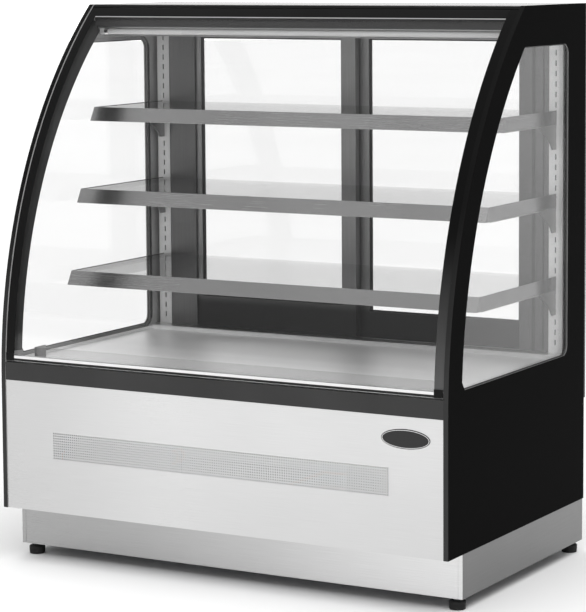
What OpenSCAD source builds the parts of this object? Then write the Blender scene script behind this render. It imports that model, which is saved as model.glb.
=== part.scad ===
// Refrigerated display showcase with a curved front glass, three stepped
// glass shelves, two sliding rear doors and a built-in condensing unit.
// Inside the modules y runs back from the front plane of the side panels;
// from_front() then moves each piece so that the case is centred on the origin.

/* [Case] */
// Overall width
case_w = 1200; // [1100:10:1400]
// Overall height
case_h = 1340; // [1335:1:1345]
// Depth of the side panels
panel_d = 750; // [745:1:755]
// Thickness of a side panel
panel_t = 12; // [10:1:14]
// How far the rear frame stands behind the side panels
rear_lip = 8; // [6:1:12]
// Height where the front edge starts to lean back
curve_z = 445; // [440:1:450]
// Radius of the curved front edge
curve_r = 1200; // [1198:1:1205]

/* [Base] */
// Height of the side panels' bottom edge
base_z = 131; // [125:1:135]
// Gap between the floor and the plinth
plinth_z = 28.5; // [28:0.5:32]
// Setback of the plinth from the front plane
plinth_setback = 74; // [60:1:90]
// Radius of a levelling foot
foot_r = 19.5; // [16:0.5:22]

/* [Side window] */
// Width of the black band in front of the window
window_band = 68; // [60:1:80]
// Bottom edge of the window
window_z0 = 500; // [498:1:510]
// Top edge of the window
window_z1 = 1246; // [1230:1:1250]
// Rear edge of the window, from the front plane
window_rear = 648; // [640:1:660]
// Radius of the window's rear corners
window_corner = 25; // [15:1:30]

/* [Front] */
// Top of the dark front rail
rail_z = 488; // [486:1:490]
// Thickness of the front glass
glass_t = 6; // [5:0.5:8]
// Number of upright slots in the front vent
vent_slots = 44; // [20:1:60]
// Width of the front vent
vent_w = 905; // [700:5:950]
// Bottom of the front vent
vent_z0 = 263; // [200:1:300]
// Height of the front vent
vent_h = 63; // [40:1:80]

/* [Shelves] */
// Height of the lowest shelf's top edge
shelf_z = 685; // [660:25:710]
// Vertical step from one shelf to the next
shelf_step = 200; // [175:25:200]
// Height of the slanting shelf fascia
fascia_h = 34; // [28:1:38]
// How far the fascia's foot stands in front of its top
fascia_lean = 19; // [10:1:22]
// Gap between a shelf frame and a side panel
shelf_gap = 28; // [28:1:48]

/* [Rear doors] */
// How far a door's meeting stile passes the middle
door_lap = 8; // [4:1:12]
// Width of a door stile
stile_w = 41; // [30:1:50]
// Thickness of a door frame
door_t = 20; // [18:1:20]

/* [Hidden] */
$fn = 96;
sheet = 1.5;                       // stainless sheet
pan_t = 2;                         // galvanised base pan
inner = case_w / 2 - panel_t;      // inner face of a side panel
case_d = panel_d + rear_lip;

// Front glass and its foot hinge
glass_out = curve_r - 3;
glass_in = glass_out - glass_t;
glass_a0 = 2.5;                    // angle above the curve's centre at the glass foot
glass_a1 = 47.75;                  // the same at the glass top
trim_a0 = 47.85;
rebate = 8;                        // the side panes' edge behind the window
hinge_y = 9;
hinge_z = 494;
hinge_r = 3;
run = 0.05;                        // radial clearance of a running fit

// Floor of the display, the tub below it and the deck
tub_z0 = 330;
tub_z1 = 485;
tub_y0 = 25;
tub_y1 = 671;
tub_wall = 30;
deck_y0 = 63.5;
deck_y1 = 636;
sill_z = 498;

// Rear frame
door_y = [680, 705];               // front faces of the inner and the outer door
door_z0 = 490;
door_z1 = 1286;
door_glass_z0 = [577, 562];        // foot of the glass in the inner and the outer door
door_glass_z1 = 1250;
door_w = inner - 101 + door_lap;
jamb_in = inner - 127;             // inner edge of a jamb's front plate
jamb_out = inner - 41;             // its return, which meets the tracks
jamb_rear_in = inner - 96;         // inner edge of a jamb's rear plate
grip_z = [830, 950];               // ends of a finger pull
grip_w = 20;
grip_d = 8;
head_z = 1300;

// Lamp tube
lamp_y = 424;
lamp_z = 1272;
tube_end = inner - 32;

// Shelf standards
std_x = [inner - 49, inner - 13];  // ends of a standard's face
std_y = 673;
slot_x = inner - 31.5;
slot_pitch = 25;
slot_z0 = 523;
slot_count = 31;
shelf_half = inner - shelf_gap;
shelf_front = [245, 292, 356];     // top front edge of each shelf, lowest shelf first
shelf_names = ["lower", "middle", "upper"];

// Machine space
fan_x = 190;                       // evaporator fans stand at this distance from the middle
fan_z = 422;
fan_y = 240;
cond_x = -310;
cond_z = 225;
cond_y = 112;
comp_x = 270;
comp_y = 300;
comp_r = 74;
drain = [150, 600];
suction_x = 452;
liquid_x = 430;
gland_x = 68 - inner;
gland_z = 250;
feet_x = inner - 14;
feet_y = [100, 724];
panel_y = panel_d - 3.5;           // front face of the rear sheets
panel_split = 380;                 // where the service panel ends and the control panel starts
screw_x = inner - 18;
service_screws = [for (x = [-screw_x, 0, screw_x], z = [160, 364]) [x, z]];
control_screws = [for (x = [-screw_x, 0, screw_x]) [x, 470]];
screw_r = 2;
key_x = [408, 422, 436];           // set, up and down keys
key_z = [399, 406.4];              // ends of the key wells
module_x = [348, 476];             // ends of the control module's faceplate
module_z = [393, 435];
switch_x = 361;
switch_z = 414;

// ---- shared helpers ----

module from_front() { translate([0, -case_d / 2, 0]) children(); }

// A block between its lowest corner a and its highest corner b
module block(a, b) { translate(a) cube(b - a); }

module both_sides() {
  children();
  mirror([1, 0, 0]) children();
}

// Draws a (y, z) outline from x0 to x1
module along_x(x0, x1) {
  translate([x0, 0, 0]) rotate([90, 0, 90]) linear_extrude(x1 - x0) children();
}

// A cylinder whose axis runs along +Y from y0 to y1
module round_y(x, z, y0, y1, r) {
  translate([x, y0, z]) rotate([-90, 0, 0]) cylinder(r = r, h = y1 - y0);
}

// A straight round bar between two points
module bar(a, b, r) {
  d = b - a;
  length = norm(d);
  translate(a) rotate([0, acos(d[2] / length), atan2(d[1], d[0])]) cylinder(r = r, h = length);
}

module pipe(points, r) {
  for (i = [0 : len(points) - 2]) bar(points[i], points[i + 1], r);
  for (i = [1 : len(points) - 2]) translate(points[i]) sphere(r = r);
}

// The round front edge's disc, in (y, z)
module front_disc(r) { translate([curve_r, curve_z]) circle(r = r, $fn = 240); }

// The sector of the front curve between two angles, in (y, z)
module front_sector(a0, a1) {
  far = 3 * curve_r;
  polygon([
    [curve_r, curve_z],
    [curve_r - far * cos(a0), curve_z + far * sin(a0)],
    [curve_r - far * cos(a1), curve_z + far * sin(a1)]
  ]);
}

// Where a disc of radius r on the front curve's centre starts at height z
function front_at(r, z) = curve_r - sqrt(r * r - (z - curve_z) * (z - curve_z));

// ---- plinth, feet and base ----

module plinth_front() {
  color("gainsboro") from_front()
    block([-inner, plinth_setback, plinth_z], [inner, plinth_setback + 2, base_z]);
}

module plinth_surround() {
  out = case_w / 2 - 1;
  rear = panel_d - 4;
  color("gray") from_front() {
    both_sides() {
      block([out - 2, plinth_setback, plinth_z], [out, rear, base_z]);
      block([inner + 0.3, plinth_setback, plinth_z], [out, plinth_setback + 2, base_z]);
    }
    block([-out, rear - 2, plinth_z], [out, rear, base_z]);
  }
}

module foot_brackets() {
  color("silver") from_front() both_sides()
    for (y = feet_y) difference() {
      union() {
        y0 = y < panel_d / 2 ? plinth_setback + 2 : panel_d - 66;
        block([inner - 51, y0, plinth_z], [case_w / 2 - 3, y0 + 60, plinth_z + 5]);
        translate([feet_x, y, plinth_z]) cylinder(r = 10, h = 18);
      }
      translate([feet_x, y, plinth_z - 1]) cylinder(r = 5 + run, h = 20);
    }
}

module base_pan() {
  rear = panel_d - 6;
  color("silver") from_front() {
    block([-inner, 18, base_z], [inner, rear, base_z + pan_t]);
    block([-inner, 18, base_z], [inner, 18 + pan_t, base_z + 18]);
    block([-inner, rear - pan_t, base_z], [inner, rear, base_z + 18]);
  }
}

module levelling_foot(side, y) {
  color("dimgray") from_front() translate([side * feet_x, y, 0]) {
    cylinder(r1 = foot_r - 1.5, r2 = foot_r, h = 4);
    translate([0, 0, 4]) cylinder(r = foot_r, h = 14);
    translate([0, 0, 18]) cylinder(r1 = foot_r, r2 = 14, h = 3);
    translate([0, 0, 21]) cylinder(r = 10, h = 7, $fn = 6);
    translate([0, 0, 28]) cylinder(r = 5, h = 32);
  }
}

// ---- side panels and their panes ----

module panel_outline() {
  translate([0, base_z]) square([panel_d, curve_z - base_z]);
  intersection() {
    front_disc(curve_r);
    translate([0, curve_z - 1]) square([panel_d, case_h - curve_z + 1]);
  }
}

// The window's outline, moved outwards by grow on every side
module window_outline(grow) {
  rear = window_rear + grow;
  z0 = window_z0 - grow;
  z1 = window_z1 + grow;
  r = window_corner + grow;
  front = front_at(curve_r - window_band + grow, z0);
  difference() {
    intersection() {
      front_disc(curve_r - window_band + grow);
      translate([0, z0]) square([rear, z1 - z0]);
    }
    difference() {
      translate([rear - r, z0]) square(r);
      translate([rear - r, z0 + r]) circle(r = r);
    }
    difference() {
      translate([rear - r, z1 - r]) square(r);
      translate([rear - r, z1 - r]) circle(r = r);
    }
    polygon([
      [front - 10, z0 - 1], [front + 14, z0 - 1], [front + 14, z0],
      [front, z0 + 20], [front - 10, z0 + 20]
    ]);
  }
}

module side_panel() {
  color([0.11, 0.11, 0.11]) from_front() difference() {
    along_x(inner, case_w / 2) panel_outline();
    along_x(inner - 1, case_w / 2 + 1) window_outline(0);
    along_x(inner - 1, inner + glass_t) window_outline(rebate);
    translate([inner - 1, hinge_y, hinge_z]) rotate([0, 90, 0]) cylinder(r = hinge_r + run, h = 9);
  }
}

module side_glass() {
  color([0.8, 0.9, 0.9, 0.3]) from_front() along_x(inner, inner + glass_t) window_outline(rebate - 0.3);
}

module right_side_panel() { side_panel(); }
module left_side_panel() { mirror([1, 0, 0]) side_panel(); }
module right_side_glass() { side_glass(); }
module left_side_glass() { mirror([1, 0, 0]) side_glass(); }

// ---- front ----

module front_panel() {
  z0 = base_z + 0.5;
  z1 = curve_z - 0.5;
  half = inner - 0.5;
  back = 17;
  pitch = vent_w / vent_slots;
  color("whitesmoke") from_front() difference() {
    union() {
      block([-half, sheet, z0], [half, 2 * sheet, z1]);
      both_sides() block([half - sheet, sheet, z0], [half, back, z1]);
      block([-half, sheet, z0], [half, back, z0 + sheet]);
      block([-half, sheet, z1 - sheet], [half, back, z1]);
    }
    for (i = [0 : vent_slots - 1])
      block([-vent_w / 2 + (i + 0.5) * pitch - 1.5, 0, vent_z0],
            [-vent_w / 2 + (i + 0.5) * pitch + 1.5, 4, vent_z0 + vent_h]);
  }
}

// A blank oval plate with a raised rim
module badge() {
  half_w = 61;
  half_h = 22.5;
  points = 64;
  function oval(grow) = [for (i = [0 : points - 1])
    [(half_w + grow) * cos(360 * i / points), (half_h + grow) * sin(360 * i / points)]];
  color("black") from_front() translate([inner - 93, sheet, 394.5]) rotate([90, 0, 0])
    difference() {
      linear_extrude(sheet) polygon(oval(0));
      translate([0, 0, 1]) linear_extrude(sheet) polygon(oval(-2.5));
    }
}

module front_rail() {
  color([0.24, 0.24, 0.24]) from_front() along_x(-inner, inner) {
    translate([1, curve_z]) square([3, rail_z - curve_z]);
    translate([1, rail_z - 3]) square([29, 3]);
    translate([1, curve_z]) square([16, 2]);
  }
}

module glass_section() {
  intersection() {
    difference() {
      front_disc(glass_out);
      front_disc(glass_in);
    }
    front_sector(glass_a0, glass_a1);
  }
}

module front_glass() {
  color([0.8, 0.9, 0.9, 0.3]) from_front() along_x(-inner + 1, inner - 1) glass_section();
}

module front_glass_foot() {
  half = inner - 1.5;
  color("silver") from_front() {
    along_x(-half, half) difference() {
      union() {
        translate([hinge_y, hinge_z]) circle(r = 5.5);
        translate([3, hinge_z]) square([11, 11]);
      }
      glass_section();
    }
    both_sides() translate([half - 1, hinge_y, hinge_z]) rotate([0, 90, 0]) cylinder(r = hinge_r, h = 8.5);
  }
}

// ---- top ----

module lid() {
  top = case_h;
  color("gainsboro") from_front() {
    block([-inner, 409, top - sheet], [inner, panel_d, top]);
    block([-inner, panel_d - sheet, head_z], [inner, panel_d, top]);
    block([-inner, 640, head_z], [inner, panel_d, head_z + sheet]);
    block([-inner, 640, head_z], [inner, 641.5, top]);
  }
}

module top_trim() {
  color("darkgray") from_front() along_x(-inner, inner) intersection() {
    front_disc(glass_out);
    front_sector(trim_a0, 60);
    translate([380, 1300]) square([26.7, case_h - 1300 - 1.7]);
  }
}

module header_beam() {
  color([0.25, 0.25, 0.25]) from_front() along_x(-inner, inner) difference() {
    translate([407, 1284]) square([45, case_h - sheet - 1284]);
    translate([409, 1286]) square([41, case_h - sheet - 1288]);
  }
}

module lamp_housing() {
  color("silver") from_front() along_x(-inner + 8, inner - 8) {
    translate([409, 1281]) square([33, 3]);
    translate([439, 1261]) square([3, 20]);
    translate([428, 1261]) square([14, 2]);
  }
}

module lamp_tube() {
  color("white") from_front() {
    bar([-tube_end, lamp_y, lamp_z], [tube_end, lamp_y, lamp_z], 7.5);
    both_sides() bar([tube_end, lamp_y, lamp_z], [tube_end + 12, lamp_y, lamp_z], 8.5);
  }
}

// ---- display floor ----

module deck_tray() {
  half = inner - 12;
  top = rail_z;
  color("gainsboro") from_front() {
    block([-half, deck_y0, top - 2], [half, deck_y1, top]);
    both_sides() block([half - 2, deck_y0, top], [half, deck_y1, top + 8]);
    block([-half, deck_y1 - 2, top], [half, deck_y1, top + 8]);
  }
}

module return_air_grille() {
  holes = 58;
  half = inner - 18;
  pitch = 2 * half / holes;
  color("silver") from_front() difference() {
    block([-inner, 30.5, tub_z1], [inner, deck_y0 - 0.5, rail_z]);
    for (i = [0 : holes - 1])
      block([-half + (i + 0.2) * pitch, 50, tub_z1 - 1], [-half + (i + 0.8) * pitch, 58, rail_z + 1]);
  }
}

// Clear strip that turns the air curtain back over the deck
module air_deflector() {
  half = inner - 40;
  color([0.85, 0.95, 0.95, 0.35]) from_front() {
    block([-half, 66, rail_z], [half, 69, rail_z + 30]);
    both_sides() block([half - 3, 69, rail_z], [half, 110, rail_z + 30]);
  }
}

module insulated_tub() {
  ledge_z = 447;
  color("whitesmoke") from_front() difference() {
    union() {
      block([-inner, tub_y0, tub_z0], [inner, tub_y1, tub_z1]);
      block([-inner, tub_y1, ledge_z], [inner, 735, tub_z1]);
      translate([drain[0], drain[1], tub_z0 - 30]) cylinder(r = 12, h = 31);
    }
    block([-inner + tub_wall, tub_y0 + tub_wall, tub_z0 + tub_wall],
          [inner - tub_wall, tub_y1 - tub_wall, tub_z1 + 1]);
    translate([drain[0], drain[1], tub_z0 - 31]) cylinder(r = 9, h = 80);
    for (x = [liquid_x, suction_x]) translate([x, 450, tub_z0 - 1]) cylinder(r = 9, h = tub_wall + 2);
  }
}

// ---- shelves ----

module shelf_standards() {
  color("lightgray") from_front() both_sides() difference() {
    union() {
      block([std_x[0], std_y, sill_z], [std_x[1], std_y + 2, head_z]);
      block([jamb_out + 1, std_y + 2, sill_z], [jamb_out + 3, std_y + 14, head_z]);
      block([std_x[1] - 2, std_y + 2, sill_z], [std_x[1], std_y + 14, head_z]);
    }
    for (i = [0 : slot_count - 1])
      block([slot_x - 1.75, std_y - 1, slot_z0 + i * slot_pitch - 6.5],
            [slot_x + 1.75, std_y + 3, slot_z0 + i * slot_pitch + 6.5]);
  }
}

module shelf_frame(level) {
  y = shelf_front[level];
  z = shelf_z + level * shelf_step;
  rear = std_y - 3;
  color("gainsboro") from_front() {
    along_x(-shelf_half, shelf_half) {
      polygon([[y, z], [y - fascia_lean, z - fascia_h], [y - fascia_lean + 2, z - fascia_h], [y + 2, z]]);
      translate([y, z - 9]) square([24, 2]);
      translate([y - 0.8, z - 9]) square([2.8, 9]);
    }
    both_sides() {
      along_x(shelf_half - 2, shelf_half)
        polygon([[y, z], [y - fascia_lean, z - fascia_h], [rear, z - fascia_h], [rear, z]]);
      block([shelf_half - 25, y, z - 9], [shelf_half, 672, z - 7]);
    }
  }
}

module shelf_glass(level) {
  y = shelf_front[level];
  z = shelf_z + level * shelf_step;
  color([0.85, 0.95, 0.92, 0.4]) from_front()
    block([-shelf_half + 3, y + 2.5, z - 7], [shelf_half - 3, 672, z - 1]);
}

module shelf_frame_lower() { shelf_frame(0); }
module shelf_frame_middle() { shelf_frame(1); }
module shelf_frame_upper() { shelf_frame(2); }
module shelf_glass_lower() { shelf_glass(0); }
module shelf_glass_middle() { shelf_glass(1); }
module shelf_glass_upper() { shelf_glass(2); }

// Tapered arms that hook into the standards and carry a frame on a lip
module shelf_brackets() {
  arm = 1.5;
  color("lightgray") from_front() both_sides()
    for (level = [0 : 2]) {
      y = shelf_front[level] + 12;
      z = shelf_z + level * shelf_step;
      low = z - fascia_h;
      along_x(slot_x - arm, slot_x + arm)
        polygon([[std_y, z - 9], [y, z - 9], [y, low - 2], [580, low - 2], [640, z - 78], [652, z - 94], [std_y, z - 94]]);
      block([slot_x, y, low - 2], [shelf_half, 580, low]);
      for (drop = [12, 62])
        block([slot_x - arm, std_y - 1, z - drop - 5], [slot_x + arm, std_y + 7, z - drop + 5]);
    }
}

// ---- rear frame and doors ----

module door_jambs() {
  out = case_w / 2;
  rear = panel_d;
  color("gray") from_front() both_sides() {
    block([jamb_in, 675, sill_z], [jamb_out, 677, head_z]);
    block([jamb_out - 2, 677, tub_z1], [jamb_out, rear, head_z]);
    block([jamb_rear_in, rear, panel_split], [out, rear + 2, case_h]);
    block([out - 2, rear + 2, panel_split], [out, rear + rear_lip, case_h]);
    block([jamb_rear_in, rear + 2, panel_split], [jamb_rear_in + 2, rear + rear_lip, case_h]);
  }
}

module door_head_track() {
  half = jamb_out - 2.5;
  z0 = 1272;
  color("silver") from_front() difference() {
    block([-half, 678, z0], [half, 732, head_z]);
    for (y = door_y) block([-half - 1, y - 1.2, z0 - 1], [half + 1, y + door_t + 1.2, door_z1 + 4]);
  }
}

module door_sill_track() {
  half = jamb_out - 2.5;
  color("silver") from_front() {
    block([-inner, deck_y1 + 1, sill_z - 2], [inner, 675, sill_z]);
    block([-inner, deck_y1 + 1, tub_z1], [inner, deck_y1 + 3, sill_z]);
    block([-half, 675, tub_z1], [half, 732, tub_z1 + 3]);
    block([-half, 673, tub_z1], [half, 677, sill_z]);
    block([-half, 701.8, tub_z1 + 3], [half, 703.2, tub_z1 + 10]);
    block([-half, 728, tub_z1 + 3], [half, 732, sill_z]);
  }
}

function door_x0(outer) = outer ? -door_lap : door_lap - door_w;

// The pane's block, larger than the daylight opening by its edge in the groove
module door_pane(outer, edge, slack) {
  x0 = door_x0(outer) + stile_w - edge;
  x1 = door_x0(outer) + door_w - stile_w + edge;
  mid = door_y[outer] + door_t / 2;
  block([x0, mid - 2.5 - slack, door_glass_z0[outer] - edge], [x1, mid + 2.5 + slack, door_glass_z1 + edge]);
}

module door_frame(outer) {
  x0 = door_x0(outer);
  y0 = door_y[outer];
  grip_x = outer ? x0 + door_w - stile_w / 2 : x0 + stile_w / 2;
  color("gray") from_front() difference() {
    block([x0, y0, door_z0], [x0 + door_w, y0 + door_t, door_z1]);
    block([x0 + stile_w, y0 - 1, door_glass_z0[outer]],
          [x0 + door_w - stile_w, y0 + door_t + 1, door_glass_z1]);
    door_pane(outer, 8.2, 0.1);
    block([grip_x - grip_w / 2, y0 + door_t - grip_d, grip_z[0]],
          [grip_x + grip_w / 2, y0 + door_t + 1, grip_z[1]]);
  }
}

module door_glass(outer) { color([0.8, 0.9, 0.9, 0.3]) from_front() door_pane(outer, 8, 0); }

module left_door_frame() { door_frame(0); }
module right_door_frame() { door_frame(1); }
module left_door_glass() { door_glass(0); }
module right_door_glass() { door_glass(1); }

// ---- refrigeration ----

// A finned block with end plates and return bends
module coil(a, b, fins, bends) {
  step = (b[0] - a[0]) / fins;
  difference() {
    block(a, b);
    for (i = [0 : fins - 1])
      block([a[0] + (i + 0.25) * step, a[1] - 1, a[2] + 3], [a[0] + (i + 0.75) * step, a[1] + 8, b[2] - 3]);
  }
  rise = (b[2] - a[2]) / bends;
  for (side = [a[0], b[0]], i = [0 : bends - 1])
    translate([side, (a[1] + b[1]) / 2, a[2] + (i + 0.5) * rise])
      rotate([0, 0, side == a[0] ? 90 : -90]) rotate([90, 0, 90]) rotate_extrude(angle = 180)
        translate([rise / 4, 0]) circle(r = 4);
}

module evaporator_coil() {
  color("silver") from_front() coil([-380, 380, 366], [380, 500, 474], 60, 3);
}

module evaporator_fan_plate() {
  color("lightgray") from_front() {
    difference() {
      block([-inner + tub_wall, fan_y, tub_z0 + tub_wall], [inner - tub_wall, fan_y + 2, tub_z1 - 1]);
      both_sides() round_y(fan_x, fan_z, fan_y - 1, fan_y + 3, 54);
    }
    both_sides() {
      round_y(fan_x, fan_z, fan_y + 20, fan_y + 55, 22);
      round_y(fan_x, fan_z, fan_y - 14, fan_y + 21, 3);
      for (a = [-60, 60])
        translate([fan_x, fan_y + 24, fan_z]) rotate([0, a, 0]) block([-60, 0, -5], [60, 6, 5]);
      for (a = [-60, 60], end = [-58, 58])
        translate([fan_x, fan_y + 2, fan_z]) rotate([0, a, 0]) block([end - 2, 0, -5], [end + 2, 22, 5]);
    }
  }
}

// A bladed wheel on the +Y axis; y = 0 is the hub's front face
module fan_wheel(r, hub_r, hub_l, bore, blades) {
  difference() {
    union() {
      round_y(0, 0, 0, hub_l, hub_r);
      for (i = [0 : blades - 1])
        rotate([0, i * 360 / blades, 0]) translate([0, hub_l / 2, hub_r - 2]) rotate([0, 0, 32])
          block([-0.32 * r, -1, 0], [0.32 * r, 1, r - hub_r]);
    }
    round_y(0, 0, -1, hub_l + 1, bore + run);
  }
}

module evaporator_fan(side) {
  color("dimgray") from_front() translate([side * fan_x, fan_y - 10, fan_z]) fan_wheel(46, 15, 22, 3, 5);
}

module evaporator_fan_left() { evaporator_fan(-1); }
module evaporator_fan_right() { evaporator_fan(1); }

module compressor() {
  x = comp_x;
  y = comp_y;
  z = base_z + pan_t;
  color([0.12, 0.12, 0.12]) from_front() {
    block([x - 100, y - 65, z + 14], [x + 100, y + 65, z + 18]);
    for (dx = [-85, 85], dy = [-50, 50]) translate([x + dx, y + dy, z]) cylinder(r = 12, h = 14);
    translate([x, y, z + 18]) cylinder(r = comp_r, h = 100);
    translate([x, y, z + 118]) intersection() {
      translate([0, 0, -56]) sphere(r = 92.8);
      translate([0, 0, -1]) cylinder(r = comp_r, h = 60);
    }
    block([x + 60, y - 25, z + 40], [x + 98, y + 25, z + 95]);
  }
}

module condenser_coil() {
  color("silver") from_front() coil([cond_x - 150, 60, base_z + pan_t], [cond_x + 150, 108, 312], 30, 4);
}

module condenser_fan_shroud() {
  color([0.2, 0.2, 0.2]) from_front() {
    difference() {
      block([cond_x - 150, cond_y, base_z + pan_t], [cond_x + 150, cond_y + 2, 314]);
      round_y(cond_x, cond_z, cond_y - 1, cond_y + 3, 78);
    }
    difference() {
      round_y(cond_x, cond_z, cond_y + 2, cond_y + 22, 80);
      round_y(cond_x, cond_z, cond_y + 1, cond_y + 23, 78);
    }
    round_y(cond_x, cond_z, cond_y + 46, cond_y + 96, 34);
    round_y(cond_x, cond_z, cond_y + 6, cond_y + 47, 4);
    for (side = [-1, 1]) {
      block([cond_x + side * 62 - 32, cond_y + 56, cond_z - 10], [cond_x + side * 62 + 32, cond_y + 60, cond_z + 10]);
      block([cond_x + side * 90 - 3, cond_y + 2, cond_z - 10], [cond_x + side * 90 + 3, cond_y + 60, cond_z + 10]);
    }
  }
}

module condenser_fan() {
  color("gray") from_front() translate([cond_x, cond_y + 12, cond_z]) fan_wheel(72, 20, 28, 4, 5);
}

module refrigerant_pipes() {
  color([0.75, 0.45, 0.3]) from_front() {
    // discharge line from the compressor to the condenser
    pipe([[185, comp_y, 230], [120, comp_y, 230], [120, 84, 230], [-141, 84, 230]], 4);
    // liquid line up to the evaporator
    pipe([[-141, 84, 160], [40, 84, 160], [40, 450, 160],
          [liquid_x, 450, 160], [liquid_x, 450, 395], [401, 450, 395]], 3);
    // suction line back to the compressor
    pipe([[401, 450, 440], [suction_x, 450, 440], [suction_x, 450, 200],
          [suction_x, comp_y, 200], [372, comp_y, 200]], 5);
  }
}

module condensate_tray() {
  color("whitesmoke") from_front() difference() {
    block([60, 530, base_z + pan_t], [240, 680, base_z + 43]);
    block([63, 533, base_z + 6], [237, 677, base_z + 44]);
  }
}

// ---- rear panels and controls ----

module rear_service_panel() {
  color("gainsboro") from_front() difference() {
    block([-inner, panel_y, base_z + pan_t], [inner, panel_y + sheet, panel_split - 0.5]);
    for (x = [-300, 300], i = [0 : 9])
      block([x - 170, panel_y - 1, 190 + 16 * i], [x + 170, panel_y + 3, 196 + 16 * i]);
    for (p = service_screws) round_y(p[0], p[1], panel_y - 1, panel_y + 3, screw_r + 0.2);
    round_y(gland_x, gland_z, panel_y - 1, panel_y + 3, 8.1);
  }
}

module rear_control_panel() {
  color("gainsboro") from_front() difference() {
    block([-inner, panel_y, panel_split], [inner, panel_y + sheet, tub_z1 - 0.5]);
    block([module_x[0] + 4, panel_y - 1, module_z[0] + 4], [module_x[1] - 4, panel_y + 3, module_z[1] - 4]);
    for (p = control_screws) round_y(p[0], p[1], panel_y - 1, panel_y + 3, screw_r + 0.2);
  }
}

module cabinet_screws() {
  face = panel_y + sheet;
  color("silver") from_front()
    for (p = concat(service_screws, control_screws)) {
      round_y(p[0], p[1], face - 8, face, screw_r);
      difference() {
        round_y(p[0], p[1], face, face + 2, 4.5);
        translate([p[0], face + 0.8, p[1]]) rotate([-90, 0, 0]) cylinder(r = 2, h = 2, $fn = 6);
      }
    }
}

// Faceplate with a display window, three key wells and a rocker well
module control_module() {
  face = panel_y + sheet;
  plate = 4;
  rim = 6;
  color([0.15, 0.15, 0.15]) from_front() difference() {
    union() {
      block([module_x[0] + rim, 700, module_z[0] + rim], [module_x[1] - rim, face, module_z[1] - rim]);
      block([module_x[0], face, module_z[0]], [module_x[1], face + plate, module_z[1]]);
    }
    for (x = key_x) block([x - 5.3, face - 4, key_z[0]], [x + 5.3, face + plate + 1, key_z[1]]);
    block([402, face + 2.5, 410], [module_x[1] - 8, face + plate + 1, 430]);
    block([switch_x - 0.5, 738, switch_z - 11.5], [switch_x + 22.5, face + plate + 1, switch_z + 11.5]);
  }
}

module controller_key(i) {
  face = panel_y + sheet;
  color("lightgray") from_front()
    block([key_x[i] - 5, face, key_z[0] + 0.3], [key_x[i] + 5, face + 5.5, key_z[1] - 0.3]);
}

module controller_key_set() { controller_key(0); }
module controller_key_up() { controller_key(1); }
module controller_key_down() { controller_key(2); }

// Rocker that tips about a horizontal axis through its middle
module lamp_switch() {
  color("darkred") from_front() translate([switch_x, 0, switch_z]) along_x(0, 22) polygon([
    [745, -10], [753, -10], [751.6, 0], [755, 10], [745, 10]
  ]);
}

module cable_gland() {
  nut = 6;
  bore_r = 4.5;
  color([0.1, 0.1, 0.1]) from_front() difference() {
    union() {
      round_y(gland_x, gland_z, case_d - 32, case_d, 8);
      for (y = [panel_y + sheet, panel_y - nut])
        translate([gland_x, y, gland_z]) rotate([-90, 0, 0]) cylinder(r = 13, h = nut, $fn = 6);
    }
    round_y(gland_x, gland_z, case_d - 38, case_d + 2, bore_r);
  }
}

module foot_front_left() { levelling_foot(-1, feet_y[0]); }
module foot_front_right() { levelling_foot(1, feet_y[0]); }
module foot_rear_left() { levelling_foot(-1, feet_y[1]); }
module foot_rear_right() { levelling_foot(1, feet_y[1]); }

plinth_front();
plinth_surround();
foot_brackets();
base_pan();
left_side_panel();
right_side_panel();
left_side_glass();
right_side_glass();
front_panel();
badge();
front_rail();
lid();
top_trim();
header_beam();
lamp_housing();
lamp_tube();
deck_tray();
return_air_grille();
air_deflector();
shelf_standards();
shelf_frame_lower();
shelf_frame_middle();
shelf_frame_upper();
shelf_glass_lower();
shelf_glass_middle();
shelf_glass_upper();
shelf_brackets();
door_jambs();
door_head_track();
door_sill_track();
insulated_tub();
evaporator_coil();
evaporator_fan_plate();
compressor();
condenser_coil();
condenser_fan_shroud();
refrigerant_pipes();
condensate_tray();
rear_service_panel();
rear_control_panel();
control_module();
cable_gland();
cabinet_screws();
left_door_frame();
left_door_glass();
right_door_frame();
right_door_glass();
front_glass();
front_glass_foot();
evaporator_fan_left();
evaporator_fan_right();
condenser_fan();
lamp_switch();
controller_key_set();
controller_key_up();
controller_key_down();
foot_front_left();
foot_front_right();
foot_rear_left();
foot_rear_right();
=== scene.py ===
"""Looks of the glass display showcase: materials, detailed pieces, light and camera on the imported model."""
import math

import bmesh
import bpy
from mathutils import Matrix, Vector


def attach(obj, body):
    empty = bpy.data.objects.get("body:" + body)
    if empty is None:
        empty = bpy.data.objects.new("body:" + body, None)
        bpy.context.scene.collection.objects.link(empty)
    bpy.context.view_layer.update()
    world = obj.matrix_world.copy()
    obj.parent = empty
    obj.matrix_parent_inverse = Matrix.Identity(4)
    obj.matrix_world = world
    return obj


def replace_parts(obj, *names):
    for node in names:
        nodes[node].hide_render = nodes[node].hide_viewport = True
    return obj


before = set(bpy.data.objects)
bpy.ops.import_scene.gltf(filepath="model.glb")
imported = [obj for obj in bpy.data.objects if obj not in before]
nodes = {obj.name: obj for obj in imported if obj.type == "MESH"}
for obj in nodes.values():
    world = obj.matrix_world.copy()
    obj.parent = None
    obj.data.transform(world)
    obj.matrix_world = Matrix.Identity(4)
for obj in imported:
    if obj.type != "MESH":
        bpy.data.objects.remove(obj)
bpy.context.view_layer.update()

# ---- the case's own measures, in millimetres; depth runs back from the front plane ----

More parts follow.
